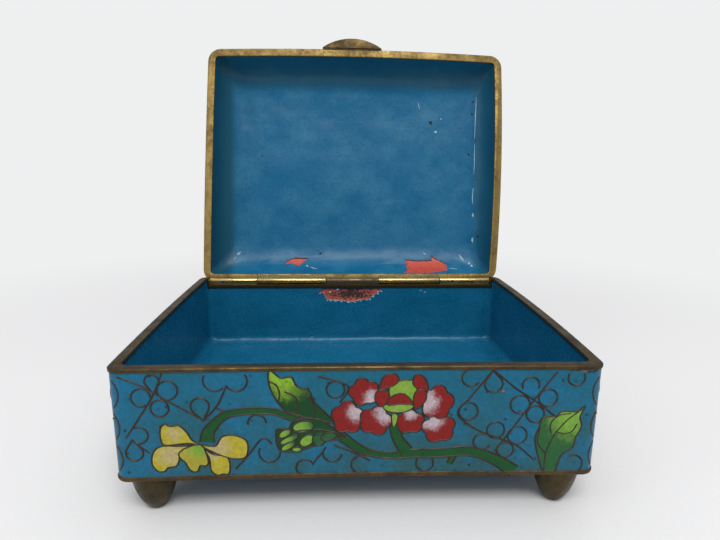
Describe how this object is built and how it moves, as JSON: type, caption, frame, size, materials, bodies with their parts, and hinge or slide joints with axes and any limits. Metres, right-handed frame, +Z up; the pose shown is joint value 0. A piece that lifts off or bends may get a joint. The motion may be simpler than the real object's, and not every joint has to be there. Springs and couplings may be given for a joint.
{
  "type": "hinged box",
  "caption": "Shallow rectangular enamelled box with a hinged domed lid standing open, a brass rim round each edge, a thumb tab and four domed feet.",
  "frame": {"origin": "middle of the whole object's footprint as it stands open, at the height of the surface under its feet", "axes": "+Z up, +X to the right seen from the front, +Y from the front of the box to its hinge"},
  "size_m": [0.1186, 0.1204, 0.1294],
  "materials": {
    "outer_enamel": "polished turquoise enamel with inlaid copper wire",
    "dull_brass": "dulled, brown, rubbed bright on the edges",
    "pale_brass": "satin, with brown tarnish",
    "old_brass": "dark olive brown tarnish"
  },
  "bodies": {
    "box": {"box_body": "outer_enamel", "body_rim": "dull_brass", "base_band": "dull_brass", "foot_front_left": "old_brass", "foot_front_right": "old_brass", "foot_back_left": "old_brass", "foot_back_right": "old_brass", "hinge_pin": "pale_brass", "hinge_knuckle_1": "pale_brass", "hinge_knuckle_3": "pale_brass", "hinge_knuckle_5": "pale_brass"},
    "lid": {"lid_body": "outer_enamel", "lid_rim": "pale_brass", "thumb_tab": "pale_brass", "hinge_knuckle_2": "pale_brass", "hinge_knuckle_4": "pale_brass"}
  },
  "joints": [
    {"name": "lid_hinge", "type": "hinge", "parent": "box", "child": "lid", "pos_m": [-0.00086, 0.02831, 0.03715], "axis": [1, 0, 0], "range_deg": [0, 102.3]}
  ]
}
